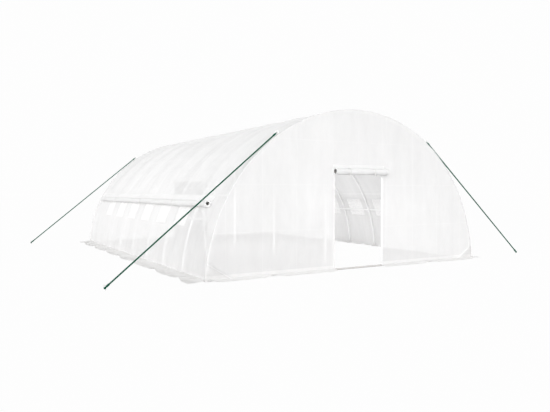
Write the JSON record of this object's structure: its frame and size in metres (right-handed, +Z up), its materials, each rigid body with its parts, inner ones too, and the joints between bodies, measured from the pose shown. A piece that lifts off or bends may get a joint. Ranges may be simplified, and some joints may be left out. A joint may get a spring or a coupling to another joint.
{
  "type": "polytunnel greenhouse",
  "caption": "A walk-in polytunnel greenhouse: steel hoops under a white translucent sheet, roll-up end doors, netted side windows, ground flaps and green guy ropes.",
  "frame": {"origin": "on the ground at the middle of the tunnel's plan", "axes": "+X across the tunnel to the right seen from the front door, +Y along it away from the front door, +Z up"},
  "size_m": [9.1012, 8.2864, 2.8505],
  "materials": {
    "galvanised_steel": "pale zinc-coated tube, satin",
    "cover_sheet": "white translucent reinforced sheet, soft sheen",
    "rolled_sheet": "white translucent sheet in loose rolls, soft sheen",
    "window_net": "fine white insect net",
    "tie_strap": "white woven webbing, matt",
    "guy_rope": "twisted green rope, matt"
  },
  "bodies": {
    "root": {"front_hoop": "galvanised_steel", "hoop_2": "galvanised_steel", "hoop_3": "galvanised_steel", "hoop_4": "galvanised_steel", "hoop_5": "galvanised_steel", "hoop_6": "galvanised_steel", "hoop_7": "galvanised_steel", "hoop_8": "galvanised_steel", "rear_hoop": "galvanised_steel", "hoop_sleeves": "galvanised_steel", "hoop_feet": "galvanised_steel", "purlin_clamps": "galvanised_steel", "ridge_purlin": "galvanised_steel", "shoulder_purlins": "galvanised_steel", "side_purlins": "galvanised_steel", "side_rails": "galvanised_steel", "end_rails": "galvanised_steel", "centre_posts": "galvanised_steel", "door_posts": "galvanised_steel", "door_headers": "galvanised_steel", "corner_braces": "galvanised_steel", "rope_rings": "galvanised_steel", "guy_pegs": "galvanised_steel", "left_side_cover": "cover_sheet", "right_side_cover": "cover_sheet", "roof_cover_left_lower": "cover_sheet", "roof_cover_left_middle": "cover_sheet", "roof_cover_left_upper": "cover_sheet", "roof_cover_right_upper": "cover_sheet", "roof_cover_right_middle": "cover_sheet", "roof_cover_right_lower": "cover_sheet", "front_cover_left": "cover_sheet", "front_cover_top": "cover_sheet", "front_cover_right": "cover_sheet", "rear_cover_left": "cover_sheet", "rear_cover_top": "cover_sheet", "rear_cover_right": "cover_sheet", "side_ground_flaps": "cover_sheet", "end_ground_flaps": "cover_sheet", "left_window_roll": "rolled_sheet", "right_window_roll": "rolled_sheet", "front_door_roll": "rolled_sheet", "rear_door_roll": "rolled_sheet", "left_window_nets": "window_net", "right_window_nets": "window_net", "window_roll_straps": "tie_strap", "door_roll_straps": "tie_strap", "guy_ropes": "guy_rope"}
  },
  "joints": []
}
